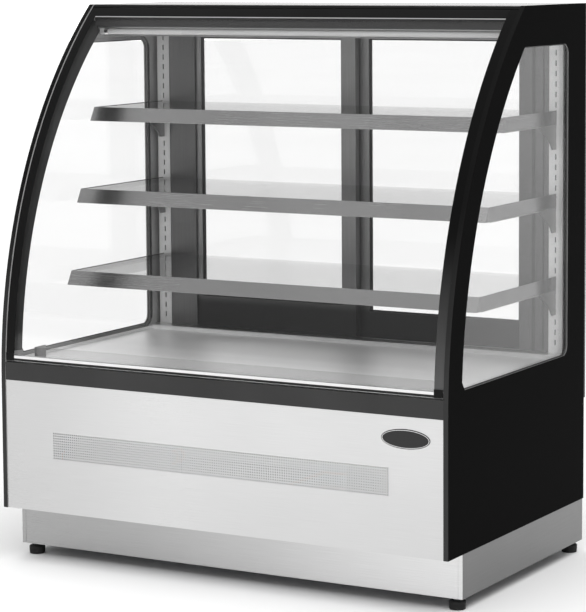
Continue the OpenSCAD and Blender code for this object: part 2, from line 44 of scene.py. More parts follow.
FRONT_Y = -379.0          # the front plane in the frame's own Y
INNER = 588.0             # inner face of a side panel
CURVE = (1200.0, 445.0)   # depth and height of the front curve's centre
CURVE_R = 1200.0          # radius of a side panel's front edge
GLASS_OUT = 1197.0        # radius of the front glass's outer face
GLASS_A0, GLASS_A1 = 2.5, 47.75   # angles of the glass's foot and head above the centre
WINDOW_BAND = 68.0        # panel left between its front edge and its window
WINDOW_Z = (500.0, 1246.0)    # foot and head of a side window
WINDOW_REAR = 648.0       # depth of its rear edge
WINDOW_CORNER = 25.0      # radius of its rear corners
FACE = 1.5                # depth of the front panel's face
REAR_FACE = 748.0         # depth of the rear sheets' outer face
STEEL_TOP = 488.0         # the deck's surface


def at(x, depth, z):
    """A point given by x, depth and height in millimetres, in the frame's metres."""
    return Vector((x, depth + FRONT_Y, z)) / 1000


# ---- materials ----

class Paint:
    """A Principled material with short ways to add the nodes that give it texture."""

    def __init__(self, name, **sockets):
        self.material = bpy.data.materials.new(name)
        self.material.use_nodes = True
        self.tree = self.material.node_tree
        self.tree.nodes.clear()
        self.out = self.add("ShaderNodeOutputMaterial")
        self.bsdf = self.add("ShaderNodeBsdfPrincipled")
        self.link(self.bsdf.outputs[0], self.out.inputs["Surface"])
        for key, value in sockets.items():
            self.bsdf.inputs[key.replace("_", " ")].default_value = value

    def add(self, kind, **values):
        node = self.tree.nodes.new(kind)
        for key, value in values.items():
            setattr(node, key, value)
        return node

    def link(self, source, target):
        self.tree.links.new(source, target)

    def noise(self, scale, stretch=(1, 1, 1), detail=3.0):
        """Noise in the frame's own metres. A stretch below 1 along an axis draws it out along that axis."""
        coords = self.add("ShaderNodeTexCoord")
        mapping = self.add("ShaderNodeMapping")
        mapping.inputs["Scale"].default_value = stretch
        texture = self.add("ShaderNodeTexNoise")
        texture.inputs["Scale"].default_value = scale
        texture.inputs["Detail"].default_value = detail
        self.link(coords.outputs["Object"], mapping.inputs["Vector"])
        self.link(mapping.outputs["Vector"], texture.inputs["Vector"])
        return texture.outputs["Fac"]

    def ranged(self, value, low, high):
        """The value's middle part spread from low to high."""
        node = self.add("ShaderNodeMapRange")
        node.inputs["From Min"].default_value = 0.3
        node.inputs["From Max"].default_value = 0.7
        node.inputs["To Min"].default_value = low
        node.inputs["To Max"].default_value = high
        self.link(value, node.inputs["Value"])
        return node.outputs["Result"]

    def ramp(self, value, dark, light):
        node = self.add("ShaderNodeValToRGB")
        node.color_ramp.elements[0].position = 0.3
        node.color_ramp.elements[1].position = 0.7
        node.color_ramp.elements[0].color = (*dark, 1)
        node.color_ramp.elements[1].color = (*light, 1)
        self.link(value, node.inputs["Fac"])
        return node.outputs["Color"]

    def bump(self, height, distance, strength=1.0):
        node = self.add("ShaderNodeBump")
        node.inputs["Distance"].default_value = distance
        node.inputs["Strength"].default_value = strength
        self.link(height, node.inputs["Height"])
        self.link(node.outputs["Normal"], self.bsdf.inputs["Normal"])

    def to(self, socket, source):
        self.link(source, self.bsdf.inputs[socket])


def grey(v):
    return (v, v, v)


def brushed(name, dark, light, along, rough, bump=0.00002, metallic=1.0):
    """Brushed metal with its hairlines along one axis, given as 0, 1 or 2."""
    p = Paint(name, Metallic=metallic)
    stretch = [1.0, 1.0, 1.0]
    stretch[along] = 0.006
    lines = p.noise(1600, stretch, 2.0)
    patches = p.noise(2.2)
    p.to("Base Color", p.ramp(lines, dark, light))
    mixed = p.add("ShaderNodeMath", operation="MULTIPLY")
    p.link(p.ranged(lines, rough[0], rough[1]), mixed.inputs[0])
    p.link(p.ranged(patches, 0.88, 1.12), mixed.inputs[1])
    p.to("Roughness", mixed.outputs[0])
    p.bump(lines, bump)
    return p.material


def coated(name, dark, light, rough, orange_peel=0.00001, scale=700, specular=0.5):
    """Paint or moulded plastic: a fine skin texture, with slight drift in colour and gloss."""
    p = Paint(name)
    p.bsdf.inputs["Specular IOR Level"].default_value = specular
    skin = p.noise(scale, detail=2.0)
    drift = p.noise(5)
    p.to("Base Color", p.ramp(drift, dark, light))
    p.to("Roughness", p.ranged(drift, rough[0], rough[1]))
    p.bump(skin, orange_peel)
    return p.material


def painted_light_gradient(material, axis, start, end, low, high):
    """Paints light and shade into a material's colour: scales it along an axis, from low at start to high at
    end, a painted reflection fixed to the surface.
    """
    tree = material.node_tree
    bsdf = tree.nodes["Principled BSDF"]
    source = bsdf.inputs["Base Color"].links[0].from_socket
    coords = tree.nodes.new("ShaderNodeTexCoord")
    split = tree.nodes.new("ShaderNodeSeparateXYZ")
    spread = tree.nodes.new("ShaderNodeMapRange")
    spread.interpolation_type = "SMOOTHSTEP"
    for socket, value in zip(("From Min", "From Max", "To Min", "To Max"), (start, end, low, high)):
        spread.inputs[socket].default_value = value
    scale = tree.nodes.new("ShaderNodeVectorMath")
    scale.operation = "SCALE"
    tree.links.new(coords.outputs["Object"], split.inputs[0])
    tree.links.new(split.outputs[axis], spread.inputs["Value"])
    tree.links.new(source, scale.inputs[0])
    tree.links.new(spread.outputs["Result"], scale.inputs["Scale"])
    tree.links.new(scale.outputs[0], bsdf.inputs["Base Color"])
    return material


def clear(name, tint, ior, rough):
    """Clear sheet: light goes straight through its tint, and the faces mirror more at a slant.
    Faint smears vary the gloss."""
    p = Paint(name)
    p.tree.nodes.remove(p.bsdf)
    through = p.add("ShaderNodeBsdfTransparent")
    through.inputs["Color"].default_value = (*tint, 1)
    mirror = p.add("ShaderNodeBsdfGlossy")
    p.link(p.ranged(p.noise(7), rough[0], rough[1]), mirror.inputs["Roughness"])
    facing = p.add("ShaderNodeLayerWeight")
    facing.inputs["Blend"].default_value = 0.5
    power = p.add("ShaderNodeMath", operation="POWER")
    power.inputs[1].default_value = 5.0
    head_on = ((ior - 1) / (ior + 1)) ** 2
    share = p.add("ShaderNodeMapRange")
    share.inputs["To Min"].default_value = head_on
    mix = p.add("ShaderNodeMixShader")
    p.link(facing.outputs["Facing"], power.inputs[0])
    p.link(power.outputs[0], share.inputs["Value"])
    p.link(share.outputs["Result"], mix.inputs[0])
    p.link(through.outputs[0], mix.inputs[1])
    p.link(mirror.outputs[0], mix.inputs[2])
    p.link(mix.outputs[0], p.out.inputs["Surface"])
    return p.material


def galvanised_zinc():
    p = Paint("galvanised_zinc", Metallic=1.0)
    coords = p.add("ShaderNodeTexCoord")
    cells = p.add("ShaderNodeTexVoronoi")
    cells.inputs["Scale"].default_value = 70
    p.link(coords.outputs["Object"], cells.inputs["Vector"])
    p.to("Base Color", p.ramp(cells.outputs["Color"], (0.42, 0.43, 0.45), (0.62, 0.63, 0.65)))
    p.to("Roughness", p.ranged(cells.outputs["Color"], 0.38, 0.58))
    p.bump(p.noise(300), 0.00004)
    return p.material


# metals
steel_x = brushed("stainless_brushed_across", grey(0.60), grey(0.66), 0, (0.22, 0.30), 0.000005)
# painted reflection: the front panel's steel is darker towards its left end and its foot, lighter to the
# right and up
steel_front = brushed("stainless_front_panel", grey(0.68), grey(0.73), 0, (0.28, 0.34), 0.000003)
painted_light_gradient(steel_front, 0, -0.6, -0.1, 0.88, 1.02)
painted_light_gradient(steel_front, 2, 0.13, 0.44, 0.94, 1.04)
# painted shade and reflection: the plinth front's steel runs from dark at the left to light at the right
steel_plinth = brushed("stainless_plinth", grey(0.46), grey(0.52), 0, (0.28, 0.36), 0.000003)
painted_light_gradient(steel_plinth, 0, -0.5, 0.75, 0.77, 1.62)
# a darker copy of the plinth's stainless, painted shade for the plinth's side faces
steel_side_painted_shade = brushed("stainless_plinth_side_painted_shade", grey(0.20), grey(0.24), 1, (0.30, 0.38), 0.000003)
# painted reflection: the deck's steel is lighter at the left and darker towards the right
steel_deck = brushed("stainless_deck", grey(0.78), grey(0.84), 0, (0.36, 0.44), 0.000002, metallic=0.45)
painted_light_gradient(steel_deck, 0, -0.5, 0.2, 1.2, 0.95)
steel_shelf = brushed("stainless_shelf_frame", grey(0.60), grey(0.64), 0, (0.19, 0.27), 0.000001)
# a dark copy of the shelf frames' stainless, painted shade for their end faces
steel_end_painted_shade = brushed("stainless_shelf_end_painted_shade", grey(0.17), grey(0.21), 1, (0.20, 0.28), 0.000002)
steel_bracket = brushed("shelf_bracket_steel", grey(0.30), grey(0.36), 1, (0.34, 0.44), 0.000004)
steel_dark = brushed("stainless_rear_frame", grey(0.10), grey(0.14), 2, (0.34, 0.44))
zinc = galvanised_zinc()
chrome = brushed("polished_steel", grey(0.72), grey(0.80), 0, (0.10, 0.18), 0.000004)
aluminium = brushed("aluminium_anodised", grey(0.55), grey(0.66), 0, (0.3, 0.4))
aluminium_bright = brushed("aluminium_bright", grey(0.84), grey(0.92), 0, (0.28, 0.36), 0.000002)
housing_metal = brushed("lamp_housing_aluminium", grey(0.36), grey(0.44), 0, (0.3, 0.4), 0.000002)
# painted shade: the door frames turn almost black below about 555 mm height, reaching full tone by 620 mm
door_metal = brushed("door_frame_anodised", grey(0.22), grey(0.29), 2, (0.34, 0.46))
painted_light_gradient(door_metal, 2, 0.555, 0.62, 0.09, 1.0)
fin_metal = brushed("coil_fins", grey(0.60), grey(0.72), 2, (0.32, 0.46))
copper = brushed("copper_tube", (0.62, 0.30, 0.17), (0.80, 0.42, 0.26), 1, (0.22, 0.36))

# paints, plastics and rubbers
panel_black = coated("side_panel_powder_coat", grey(0.0036), grey(0.0044), (0.38, 0.44), specular=0.004)
# painted sheen: the side panels' front edge is seven times lighter at its foot, fading to its own black near
# 950 mm height
edge_black = coated("side_panel_front_edge", grey(0.0045), grey(0.006), (0.30, 0.38), specular=0.1)
painted_light_gradient(edge_black, 2, 0.4, 0.95, 7.0, 1.0)
lining_grey = coated("inner_lining_paint", grey(0.44), grey(0.52), (0.36, 0.44))
cut_grey = coated("window_cut_edge", grey(0.13), grey(0.17), (0.36, 0.44))
rail_black = coated("front_rail_paint", grey(0.038), grey(0.046), (0.34, 0.42), specular=0.15)
header_paint = coated("header_paint", grey(0.030), grey(0.038), (0.34, 0.42), specular=0.3)
# painted highlight: the shelf standards grow lighter towards the right side
standard_grey = coated("shelf_standard_paint", grey(0.66), grey(0.72), (0.36, 0.44))
painted_light_gradient(standard_grey, 0, -0.4, 0.4, 1.0, 1.36)
print_black = coated("printed_black_border", grey(0.0045), grey(0.0065), (0.3, 0.4), 0.00001, 1500, 0.12)
# painted reflection: a copy of the black print for the right border, up to 26 times lighter at its foot and
# fading to black near 860 mm height
print_painted_highlight = coated("printed_border_painted_highlight_foot", grey(0.003), grey(0.004), (0.3, 0.4), 0.00001, 1500, 0.1)
painted_light_gradient(print_painted_highlight, 2, 0.46, 0.86, 26, 1.0)
compressor_black = coated("compressor_enamel", grey(0.010), grey(0.016), (0.18, 0.28), 0.00006, 300)
gloss_black = coated("gloss_black_enamel", grey(0.004), grey(0.006), (0.06, 0.12), 0.00001)
liner = coated("tub_liner", grey(0.62), grey(0.70), (0.42, 0.55), 0.0001, 400)
lamp_white = coated("lamp_tube_opal", grey(0.80), grey(0.86), (0.2, 0.3), 0.00001)
white_plastic = coated("lamp_holder_plastic", grey(0.66), grey(0.72), (0.3, 0.4), 0.00005)
black_plastic = coated("black_plastic", grey(0.018), grey(0.026), (0.42, 0.55), 0.00008, 900)
switch_red = coated("rocker_red", (0.36, 0.010, 0.008), (0.44, 0.016, 0.012), (0.16, 0.24), 0.00002)
key_grey = coated("key_grey", grey(0.30), grey(0.36), (0.42, 0.5), 0.00005, 1200)
rubber = coated("foot_rubber", grey(0.011), grey(0.017), (0.62, 0.78), 0.0002, 500, 0.3)
seal_black = coated("seal_rubber", grey(0.006), grey(0.010), (0.45, 0.6), 0.00005, 900, 0.3)
bead_grey = coated("window_bead_rubber", grey(0.045), grey(0.055), (0.45, 0.6), 0.00005, 900, 0.3)
# painted highlight: an opaque grey put on the clear deflector's top edge and ends to draw a bright edge line
edge_painted_highlight = coated("sheet_edge_painted_highlight", grey(0.30), grey(0.38), (0.3, 0.4), 0.00001)

# clear sheets
glass_clear = clear("side_and_door_glass", grey(0.987), 1.5, (0.01, 0.03))
glass_door = clear("door_glass", grey(0.96), 1.5, (0.01, 0.03))
glass_front = clear("curved_front_glass", grey(0.987), 1.5, (0.01, 0.03))
glass_shelf = clear("shelf_glass_clear", grey(0.976), 1.5, (0.01, 0.04))
acrylic = clear("deflector_acrylic", grey(0.90), 1.49, (0.03, 0.08))
GLASSES = (glass_clear, glass_door, glass_front, glass_shelf)


# ---- carried CAD nodes: a finish and eased edges ----

def ease(o, width, segments=2, angle=35):
    """Joins split corners, rounds the sharp edges by width metres, and shades the flats evenly."""
    weld = o.modifiers.new("weld", "WELD")
    weld.merge_threshold = 0.000002
    bevel = o.modifiers.new("bevel", "BEVEL")
    bevel.width = width
    bevel.segments = segments
    bevel.limit_method = "ANGLE"
    bevel.angle_limit = math.radians(angle)
    bevel.use_clamp_overlap = True
    bevel.harden_normals = False
    normals = o.modifiers.new("normals", "WEIGHTED_NORMAL")
    normals.keep_sharp = True


def carry(name, material, width):
    """Gives a CAD node its material and eased edges, and drops the shading it came with."""
    o = nodes[name]
    mesh = o.data
    for layer in ("custom_normal", "sharp_edge", "sharp_face"):
        if layer in mesh.attributes:
            mesh.attributes.remove(mesh.attributes[layer])
    mesh.polygons.foreach_set("use_smooth", [True] * len(mesh.polygons))
    mesh.materials.clear()
    mesh.materials.append(material)
    ease(o, width)


CARRIED = {
    steel_plinth: ["plinth_front", "plinth_surround"],
    steel_x: ["lid", "rear_service_panel", "rear_control_panel"],
    steel_deck: ["deck_tray"],
    steel_shelf: ["shelf_frame_lower", "shelf_frame_middle", "shelf_frame_upper"],
    steel_bracket: ["shelf_brackets"],
    steel_dark: ["door_jambs"],
    zinc: ["base_pan", "foot_brackets", "evaporator_fan_plate"],
    panel_black: ["left_side_panel", "right_side_panel"],
    rail_black: ["front_rail"],
    header_paint: ["header_beam"],
    print_black: ["top_trim"],
    glass_clear: ["left_side_glass", "right_side_glass"],
    glass_door: ["left_door_glass", "right_door_glass"],
    glass_front: ["front_glass"],
    glass_shelf: ["shelf_glass_lower", "shelf_glass_middle", "shelf_glass_upper"],
    acrylic: ["air_deflector"],
    aluminium: ["door_head_track"],
    housing_metal: ["lamp_housing"],
    aluminium_bright: ["door_sill_track", "front_glass_foot"],
    door_metal: ["left_door_frame", "right_door_frame"],
    standard_grey: ["shelf_standards"],
    copper: ["refrigerant_pipes"],
    liner: ["insulated_tub", "condensate_tray"],
    black_plastic: ["control_module", "condenser_fan_shroud"],
}
for material, names in CARRIED.items():
    for name in names:
        carry(name, material, 0.0006 if material in GLASSES else 0.0004)


def face_finish(name, material, chosen):
    """Gives the faces of a node that chosen(normal, centre) picks another material."""
    mesh = nodes[name].data
    mesh.materials.append(material)
    index = len(mesh.materials) - 1
    for polygon in mesh.polygons:
        if chosen(polygon.normal, polygon.center):
            polygon.material_index = index


def on_window_cut(normal, centre):
    """Whether a side panel's face is part of its window's cut edge."""
    depth, z = centre.y * 1000 - FRONT_Y, centre.z * 1000
    reach = math.hypot(depth - CURVE[0], z - CURVE[1])
    return (abs(normal.x) < 0.3 and z > WINDOW_Z[0] - 10 and depth < WINDOW_REAR + 6
            and reach < CURVE_R - WINDOW_BAND + 8)


for side, name in ((-1, "left_side_panel"), (1, "right_side_panel")):
    face_finish(name, lining_grey, lambda n, c, side=side: n.x * side < -0.9)
    # the side panels' front edge, which carries a painted sheen lighter towards its foot
    face_finish(name, edge_black, lambda n, c: n.y < -0.3 and c.y < 0.2)
    face_finish(name, cut_grey, on_window_cut)
# the plinth's side faces get the darker copy of its steel, a painted shade
face_finish("plinth_surround", steel_side_painted_shade, lambda n, c: abs(n.x) > 0.9)
# the deflector's top edge and ends carry the painted highlight
face_finish("air_deflector", edge_painted_highlight, lambda n, c: n.z > 0.7 and c.z > 0.510 or abs(n.x) > 0.9)
# the shelf frames' end faces get the dark copy of their steel, a painted shade
for level in ("lower", "middle", "upper"):
    face_finish(f"shelf_frame_{level}", steel_end_painted_shade, lambda n, c: abs(n.x) > 0.9)


# ---- mesh helpers ----

def piece(name, material, body, bm, width=0.0, segments=2, angle=35):
    """A new piece from a bmesh in the frame's metres, riding on a body."""
    bmesh.ops.recalc_face_normals(bm, faces=bm.faces)
    mesh = bpy.data.meshes.new(name)
    bm.to_mesh(mesh)
    bm.free()
    mesh.polygons.foreach_set("use_smooth", [True] * len(mesh.polygons))
    mesh.materials.append(material)
    o = bpy.data.objects.new(name, mesh)
    bpy.context.scene.collection.objects.link(o)
    if width:
        ease(o, width, segments, angle)
    else:
        o.modifiers.new("normals", "WEIGHTED_NORMAL").keep_sharp = True
    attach(o, body)
    return o


def solid(bm, rings, closed=True):
    """Joins rings of points, each with as many points, into a tube, and caps its ends."""
    made = [[bm.verts.new(p) for p in ring] for ring in rings]
    count = len(made[0])
    for a, b in zip(made, made[1:]):
        for i in range(count if closed else count - 1):
            j = (i + 1) % count
            bm.faces.new((a[i], a[j], b[j], b[i]))
    bm.faces.new(made[0])
    bm.faces.new(made[-1][::-1])
    return made


def plain_block(bm, a, b):
    """A box between two opposite corners, each given as (x, depth, height)."""
    (x0, d0, z0), (x1, d1, z1) = a, b
    solid(bm, [[at(x, d, z) for d, z in ((d0, z0), (d1, z0), (d1, z1), (d0, z1))] for x in (x0, x1)])


def turned(bm, profile, origin, axis=(0, 0, 1), sides=32):
    """A closed turned form from (radius, along) pairs in millimetres about an axis through origin."""
    turn = Vector((0, 0, 1)).rotation_difference(Vector(axis)).to_matrix()
    rings = []
    for r, h in profile:
        rings.append([origin + turn @ (Vector((r * math.cos(a), r * math.sin(a), h)) / 1000)
                      for a in (2 * math.pi * i / sides for i in range(sides))])
    return solid(bm, rings)


def on_curve(r, degrees):
    """Depth and height of a point at radius r and an angle above the front curve's centre."""
    a = math.radians(degrees)
    return CURVE[0] - r * math.cos(a), CURVE[1] + r * math.sin(a)


def curved_strip(bm, x0, x1, r0, r1, a0, a1, steps=40):
    """A strip that follows the front glass."""
    rings = []
    for i in range(steps + 1):
        a = a0 + (a1 - a0) * i / steps
        (d0, z0), (d1, z1) = on_curve(r0, a), on_curve(r1, a)
        rings.append([at(x0, d0, z0), at(x1, d0, z0), at(x1, d1, z1), at(x0, d1, z1)])
    return solid(bm, rings)


# ---- front glass: printed border, seals and inner trim; seals of the rear jambs ----

BORDER_W = 23.0           # width of the printed border at each side
PRINT_IN, PRINT_OUT = GLASS_OUT + 0.05, GLASS_OUT + 0.35
BAND_A0 = 46.35           # foot of the printed band along the top
for side, name in ((-1, "left"), (1, "right")):
    bm = bmesh.new()
    x0, x1 = sorted((side * (INNER - 1.2), side * (INNER - 1.2 - BORDER_W)))
    curved_strip(bm, x0, x1, PRINT_IN, PRINT_OUT, GLASS_A0 + 0.6, GLASS_A1 - 0.02, 60)
    # the right border takes the print copy with the painted reflection
    piece(f"glass_border_{name}", print_black if side < 0 else print_painted_highlight, "front_screen", bm)
    bm = bmesh.new()
    plain_block(bm, (x0, 2.3, 492.1), (x1, 2.98, 511))
    piece(f"glass_foot_end_{name}", print_black, "front_screen", bm, 0.0001)
    bm = bmesh.new()
    x0, x1 = sorted((side * INNER, side * (INNER - 7)))
    curved_strip(bm, x0, x1, 1184.0, 1190.0, 3.6, 46.9)
    piece(f"glass_seal_{name}", seal_black, "cabinet", bm, 0.0015, 3)
    bm = bmesh.new()
    x0, x1 = sorted((side * (INNER - 0.1), side * (INNER - 0.9)))
    curved_strip(bm, x0, x1, 1132.5, 1183.8, 3.2, 47.0)
    piece(f"inner_trim_{name}", seal_black, "cabinet", bm, 0.0002)
bm = bmesh.new()
for x0, x1 in ((494.0, 503.0), (522.0, 527.0)):
    plain_block(bm, (x0, 674.2, 500), (x1, 674.98, 1270))
piece("jamb_brush_seals", black_plastic, "cabinet", bm, 0.0002)
bm = bmesh.new()
inside = INNER - 1.3 - BORDER_W
curved_strip(bm, -inside, inside, PRINT_IN, PRINT_OUT, BAND_A0, GLASS_A1 - 0.02, 6)
piece("glass_border_top", print_black, "front_screen", bm)
bm = bmesh.new()
curved_strip(bm, -inside, inside, PRINT_IN, PRINT_OUT, BAND_A0 - 0.16, BAND_A0 - 0.02, 1)
piece("glass_border_line", aluminium_bright, "front_screen", bm)
bm = bmesh.new()
plain_block(bm, (-inside, 2.35, 492.6), (inside, 2.98, 498.2))
piece("glass_foot_gasket", seal_black, "front_screen", bm, 0.0001)


# ---- perforated sheets ----

def perforated(bm, to, outer, thick, grid, pitch, radius, sides=8):
    """A flat sheet with round holes. to(u, v, w) gives a point, w from 0 on the face to thick on the back;
    outer is (u0, v0, u1, v1); grid is (u, v, columns, rows) with u, v at the corner of the first cell."""
    gu, gv, columns, rows = grid
    half = pitch / 2
    levels = {}

    def corner(i, j, w):
        key = (i, j, w)
        if key not in levels:
            levels[key] = bm.verts.new(to(gu + i * half, gv + j * half, w))
        return levels[key]

    ring = [(1, 0), (1, 1), (0, 1), (-1, 1), (-1, 0), (-1, -1), (0, -1), (1, -1)]
    for c in range(columns):
        for r in range(rows):
            ci, cj = 2 * c + 1, 2 * r + 1
            holes = []
            for w in (0.0, thick):
                holes.append([bm.verts.new(to(gu + ci * half + radius * math.cos(a),
                                              gv + cj * half + radius * math.sin(a), w))
                              for a in (math.pi / 4 * k for k in range(sides))])
            for k in range(sides):
                n = (k + 1) % sides
                for w, hole in ((0.0, holes[0]), (thick, holes[1])):
                    bm.faces.new((hole[k], hole[n], corner(ci + ring[n][0], cj + ring[n][1], w),
                                  corner(ci + ring[k][0], cj + ring[k][1], w)))
                bm.faces.new((holes[0][k], holes[0][n], holes[1][n], holes[1][k]))
    u0, v0, u1, v1 = outer
    edges = {
        "bottom": [(i, 0) for i in range(2 * columns + 1)],
        "right": [(2 * columns, j) for j in range(2 * rows + 1)],
        "top": [(i, 2 * rows) for i in range(2 * columns, -1, -1)],
        "left": [(0, j) for j in range(2 * rows, -1, -1)],
    }
    corners = {w: [bm.verts.new(to(u, v, w)) for u, v in ((u0, v0), (u1, v0), (u1, v1), (u0, v1))]
               for w in (0.0, thick)}
    for w in (0.0, thick):
        for k, side in enumerate(("bottom", "right", "top", "left")):
            chain = [corner(i, j, w) for i, j in edges[side]]
            bm.faces.new(chain[::-1] + [corners[w][k], corners[w][(k + 1) % 4]])
    for k in range(4):
        n = (k + 1) % 4
        bm.faces.new((corners[0.0][k], corners[0.0][n], corners[thick][n], corners[thick][k]))


VENT = (-453.0, 262.0, 151, 11)
VENT_PITCH, VENT_HOLE = 6.0, 1.55
bm = bmesh.new()
perforated(bm, lambda u, v, w: at(u, FACE + w, v), (-587.5, 131.5, 587.5, 444.5), 1.5,
           VENT, VENT_PITCH, VENT_HOLE)
sheet = piece("front_panel_sheet", steel_front, "cabinet", bm)
bm = bmesh.new()
for x0, x1 in ((-587.5, -586.0), (586.0, 587.5)):
    plain_block(bm, (x0, 3, 131.5), (x1, 17, 444.5))
for z0, z1 in ((131.5, 133.0), (443.0, 444.5)):
    plain_block(bm, (-586.0, 3, z0), (586.0, 17, z1))
piece("front_panel_returns", steel_x, "cabinet", bm, 0.0003)
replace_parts(sheet, "front_panel")

AIR_HOLES = (-568.0, 44.5, 142, 2)
bm = bmesh.new()
perforated(bm, lambda u, v, w: at(u, v, STEEL_TOP - w), (-588.0, 30.5, 588.0, 63.0), 1.5, AIR_HOLES, 8.0, 1.8)
for d0, d1 in ((30.5, 32.0), (61.5, 63.0)):
    plain_block(bm, (-INNER, d0, 485), (INNER, d1, 486.5))
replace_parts(piece("return_air_strip", aluminium_bright, "cabinet", bm), "return_air_grille")


# ---- badge: a blank oval with a bright ring ----

def oval(bm, profile, centre, sides=96):
    """A closed oval form from (half width, half height, depth) rows."""
    cx, cz = centre
    rings = [[at(cx + a * math.cos(t), d, cz + b * math.sin(t))
              for t in (2 * math.pi * i / sides for i in range(sides))]
             for a, b, d in profile]
    return solid(bm, rings)


BADGE = (495.0, 394.5)
bm = bmesh.new()
oval(bm, [(61, 22.5, 1.5), (61, 22.5, 0.7), (60.4, 21.9, 0.25), (59.4, 20.9, 0.2)], BADGE)
oval(bm, [(57.4, 18.9, 1.3), (57.4, 18.9, 0.62), (56.4, 17.9, 0.42), (52, 15.5, 0.25), (40, 11.5, 0.12),
          (22, 6.5, 0.05), (6, 1.8, 0.02)], BADGE)
badge = piece("badge_plate", gloss_black, "cabinet", bm)
bm = bmesh.new()
ring = [(59.4, 20.9, 1.2), (59.4, 20.9, 0.35), (59.1, 20.6, 0.1), (58.4, 19.9, 0.0), (57.7, 19.2, 0.1),
        (57.4, 18.9, 0.35), (57.4, 18.9, 1.2)]
oval(bm, ring, BADGE)
piece("badge_ring", chrome, "cabinet", bm)
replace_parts(badge, "badge")


# ---- levelling feet ----

PAD = [(16.5, 0), (17.9, 0.25), (18.5, 1.1), (18.8, 3.5), (19.3, 9), (19.5, 10.4), (18.9, 10.9),
       (18.9, 11.7), (19.5, 12.2), (19.5, 17.2), (19.0, 18.6), (17.2, 19.9), (13.5, 20.9), (12.5, 21)]
THREAD_TOP, THREAD_PITCH = 59.6, 1.6
for side, column in ((-1, "left"), (1, "right")):
    for depth, row in ((100.0, "front"), (724.0, "rear")):
        name, body = f"foot_{row}_{column}", f"foot_{row}_{column}"
        origin = at(side * 574.0, depth, 0)
        bm = bmesh.new()
        turned(bm, PAD, origin, sides=40)
        pad = piece(f"{name}_pad", rubber, body, bm)
        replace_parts(pad, name)
        bm = bmesh.new()
        turned(bm, [(10.0, 21.05), (10.0, 27.2), (9.2, 28)], origin, sides=6)
        rows_of_thread = [(4.95, 28.05)]
        z = 28.8
        while z < THREAD_TOP - 1:
            rows_of_thread += [(4.4, z), (4.95, z + THREAD_PITCH / 2)]
            z += THREAD_PITCH
        turned(bm, rows_of_thread + [(4.2, THREAD_TOP)], origin, sides=20)
        piece(f"{name}_stud", zinc, body, bm)


# ---- lamp: tube, caps and holders ----

LAMP_D, LAMP_Z = 424, 1272    # depth and height of the tube's axis
bm = bmesh.new()
turned(bm, [(7.5, 0), (7.5, 1112)], at(-556, LAMP_D, LAMP_Z), (1, 0, 0), 32)
tube = piece("lamp_tube_glass", lamp_white, "cabinet", bm)
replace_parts(tube, "lamp_tube")
bm = bmesh.new()
for side in (-1, 1):
    turned(bm, [(7.8, 0), (8.5, 0.8), (8.5, 11.0), (7.7, 12.0)], at(side * 556, LAMP_D, LAMP_Z),
           (side, 0, 0), 32)
piece("lamp_caps", chrome, "cabinet", bm)
bm = bmesh.new()
for side in (-1, 1):
    cradle = [(LAMP_D - 9 * math.cos(a), LAMP_Z - 9 * math.sin(a))
              for a in (math.pi * k / 10 for k in range(1, 10))]
    outline = [(415, 1281), (415, 1268)] + cradle + [(433, 1268), (433, 1281)]
    solid(bm, [[at(side * x, d, z) for d, z in outline] for x in (568.1, 579.5)])
piece("lamp_holders", white_plastic, "cabinet", bm, 0.0006)


# ---- window beads and pane gaskets ----

def rounded(points, radii, steps=8):
    """The corners of an outline rounded to the given radii."""
    made = []
    count = len(points)
    for i, (p, r) in enumerate(zip(points, radii)):
        here = Vector(p)
        a = (Vector(points[i - 1]) - here).normalized()
        b = (Vector(points[(i + 1) % count]) - here).normalized()
        if r == 0:
            made.append(here)
            continue
        half = a.angle(b) / 2
        reach = r / math.tan(half)
        centre = here + (a + b).normalized() * (r / math.sin(half))
        start, end = here + a * reach - centre, here + b * reach - centre
        for k in range(steps + 1):
            made.append(centre + _turned_part(start, end, k / steps))
    return made


def _turned_part(start, end, share):
    """start turned by a share of the way to end, both from one centre in a plane."""
    a0 = math.atan2(start.y, start.x)
    step = (math.atan2(end.y, end.x) - a0 + math.pi) % (2 * math.pi) - math.pi
    a = a0 + step * share
    return Vector((math.cos(a), math.sin(a))) * start.length


def window_outline():
    """The side window's outline as (depth, height), counter-clockwise from the foot of its front edge."""
    r = CURVE_R - WINDOW_BAND
    (z0, z1), rear, corner = WINDOW_Z, WINDOW_REAR, WINDOW_CORNER
    front = CURVE[0] - math.sqrt(r * r - (z0 - CURVE[1]) ** 2)
    points = [(front + 14, z0)]
    corners = [(front + 14, z0), (rear, z0), (rear, z1), (520, z1)]
    points += [tuple(p) for p in rounded(corners, [0, corner, corner, 0])[1:-1]]
    a0, a1 = math.asin((z0 + 20 - CURVE[1]) / r), math.asin((z1 - CURVE[1]) / r)
    for k in range(33):
        a = a1 + (a0 - a1) * k / 32
        points.append((CURVE[0] - r * math.cos(a), CURVE[1] + r * math.sin(a)))
    return points


def inset(points, by):
    """The outline moved inwards by a distance, for points that run counter-clockwise."""
    made = []
    count = len(points)
    for i, p in enumerate(points):
        here, before, after = Vector(p), Vector(points[i - 1]), Vector(points[(i + 1) % count])
        a, b = (here - before).normalized(), (after - here).normalized()
        na, nb = Vector((-a.y, a.x)), Vector((-b.y, b.x))
        n = (na + nb).normalized()
        made.append(here + n * (by / max(0.3, n.dot(na))))
    return made


def frame_bead(bm, outline, section, place):
    """A bead round an outline; section is (inwards, outwards) pairs and place(p, w) gives a point."""
    loops = [([place(p, w) for p in inset(outline, u)]) for u, w in section]
    made = [[bm.verts.new(p) for p in loop] for loop in loops]
    count = len(outline)
    for a, b in zip(made, made[1:] + made[:1]):
        for i in range(count):
            j = (i + 1) % count
            bm.faces.new((a[i], a[j], b[j], b[i]))


